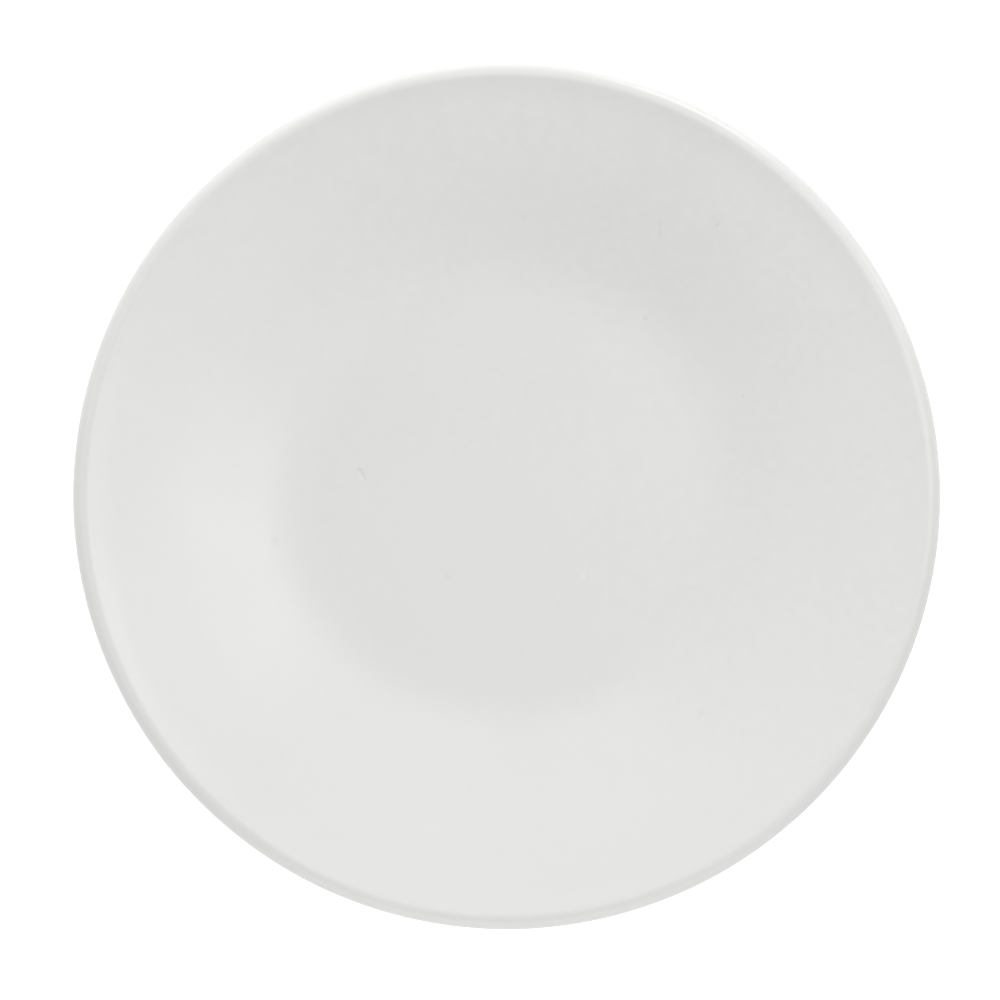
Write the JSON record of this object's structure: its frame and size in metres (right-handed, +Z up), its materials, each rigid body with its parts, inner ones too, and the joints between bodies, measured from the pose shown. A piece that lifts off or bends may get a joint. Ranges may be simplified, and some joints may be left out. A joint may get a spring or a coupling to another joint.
{
  "type": "coupe dinner plate",
  "caption": "Round coupe dinner plate with a flat floor, a wall that sweeps up into a broad gentle brim, a thick rounded lip and a turned foot ring.",
  "frame": {"origin": "centre of the foot ring's standing face, on the table", "axes": "+Z up along the plate's axis; the plate is round, so +X and +Y are alike"},
  "size_m": [0.27, 0.27, 0.026],
  "materials": {
    "clay": "bare fired clay, fine and matt",
    "glaze": "warm white satin glaze"
  },
  "bodies": {
    "root": {"body": "clay", "face_glaze": "glaze", "base_glaze": "glaze"}
  },
  "joints": []
}
